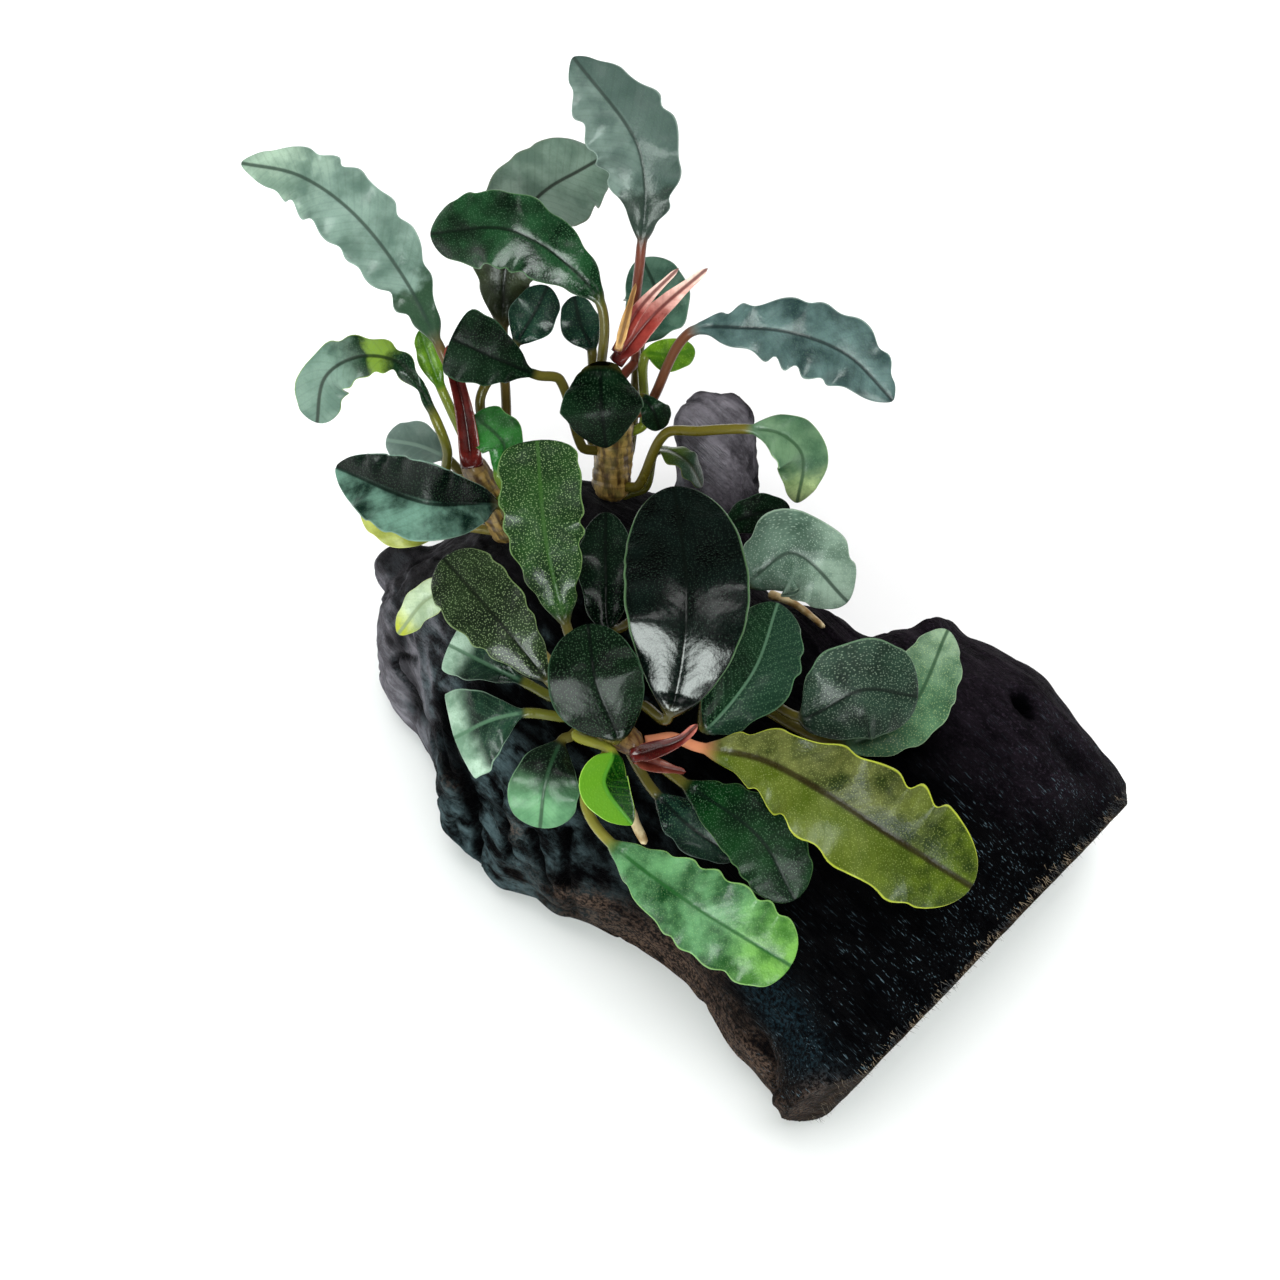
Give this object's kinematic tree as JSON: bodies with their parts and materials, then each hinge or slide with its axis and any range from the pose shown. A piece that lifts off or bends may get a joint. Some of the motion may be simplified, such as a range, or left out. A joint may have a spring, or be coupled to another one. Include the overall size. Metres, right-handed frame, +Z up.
{
  "type": "bucephalandra on driftwood",
  "caption": "Aquarium plant with thick wavy-edged leaves in low rosettes on creeping stems, grown onto a short dark saw-cut piece of driftwood that stands on its flat underside.",
  "frame": {"origin": "on the surface that the wood stands on, under the middle of the log's length", "axes": "+Z up; -Y towards the side that the picture is taken from; +X to that viewer's right"},
  "size_m": [0.131, 0.1408, 0.0855],
  "materials": {
    "driftwood": "near-black, wet, weathered, with rust and blue-grey tints",
    "dark_leaf": "very dark green, wet gloss",
    "teal_leaf": "grey teal-green, satin to wet",
    "green_leaf": "mid green, fine pale speckles, wet gloss",
    "pale_leaf": "light green, satin",
    "young_leaf": "bright yellow-green, wet gloss",
    "olive_leaf": "yellow-olive with a brown midrib, wet gloss",
    "rhizome_bark": "tan to green-brown stem with old leaf scars",
    "red_sheath": "dark red to pink, thin and wet",
    "tan_sheath": "dry tan, papery",
    "root_skin": "pale tan to cream, smooth"
  },
  "bodies": {
    "root": {"driftwood_trunk": "driftwood", "driftwood_back_knob": "driftwood", "driftwood_left_spur": "driftwood", "rhizome_back": "rhizome_bark", "rhizome_left": "rhizome_bark", "rhizome_middle": "rhizome_bark", "rhizome_front": "rhizome_bark", "leaf_back_arching_strip": "olive_leaf", "leaf_back_long_stalk": "teal_leaf", "leaf_back_behind_sheath": "teal_leaf", "leaf_back_inner_right": "dark_leaf", "leaf_back_left_glossy": "dark_leaf", "leaf_back_young_bright": "young_leaf", "leaf_back_front_heart": "dark_leaf", "leaf_back_right_wavy": "teal_leaf", "leaf_back_small_right": "dark_leaf", "leaf_back_arching_left": "dark_leaf", "leaf_back_upright_tall": "teal_leaf", "leaf_left_olive_far": "teal_leaf", "leaf_left_pale_under": "olive_leaf", "leaf_left_large_glossy": "dark_leaf", "leaf_left_inner": "dark_leaf", "leaf_left_small_green": "green_leaf", "leaf_left_pale_behind": "teal_leaf", "leaf_left_arched_far": "teal_leaf", "leaf_left_young_bright": "young_leaf", "leaf_left_long_wavy": "teal_leaf", "leaf_middle_pale_behind": "pale_leaf", "leaf_middle_grey_oval": "teal_leaf", "leaf_middle_right_oval": "dark_leaf", "leaf_middle_dark_strip": "dark_leaf", "leaf_middle_pale_wavy": "pale_leaf", "leaf_middle_dark_far": "dark_leaf", "leaf_front_pale_left": "pale_leaf", "leaf_front_teal_left": "teal_leaf", "leaf_front_speckled_left": "dark_leaf", "leaf_front_speckled_tall": "green_leaf", "leaf_front_drooping_left": "teal_leaf", "leaf_front_drooping_front": "pale_leaf", "leaf_front_young_folded": "young_leaf", "leaf_front_dark_oval": "dark_leaf", "leaf_front_big_oval": "dark_leaf", "leaf_front_long_pale_tip": "pale_leaf", "leaf_front_low_teal": "teal_leaf", "leaf_front_dark_lower": "dark_leaf", "leaf_front_long_olive": "olive_leaf", "sheath_back_long": "red_sheath", "sheath_back_short": "red_sheath", "sheath_back_dry": "tan_sheath", "sheath_left": "red_sheath", "sheath_front_upper": "red_sheath", "sheath_front_lower": "red_sheath", "root_front": "root_skin", "root_right": "root_skin"}
  },
  "joints": []
}
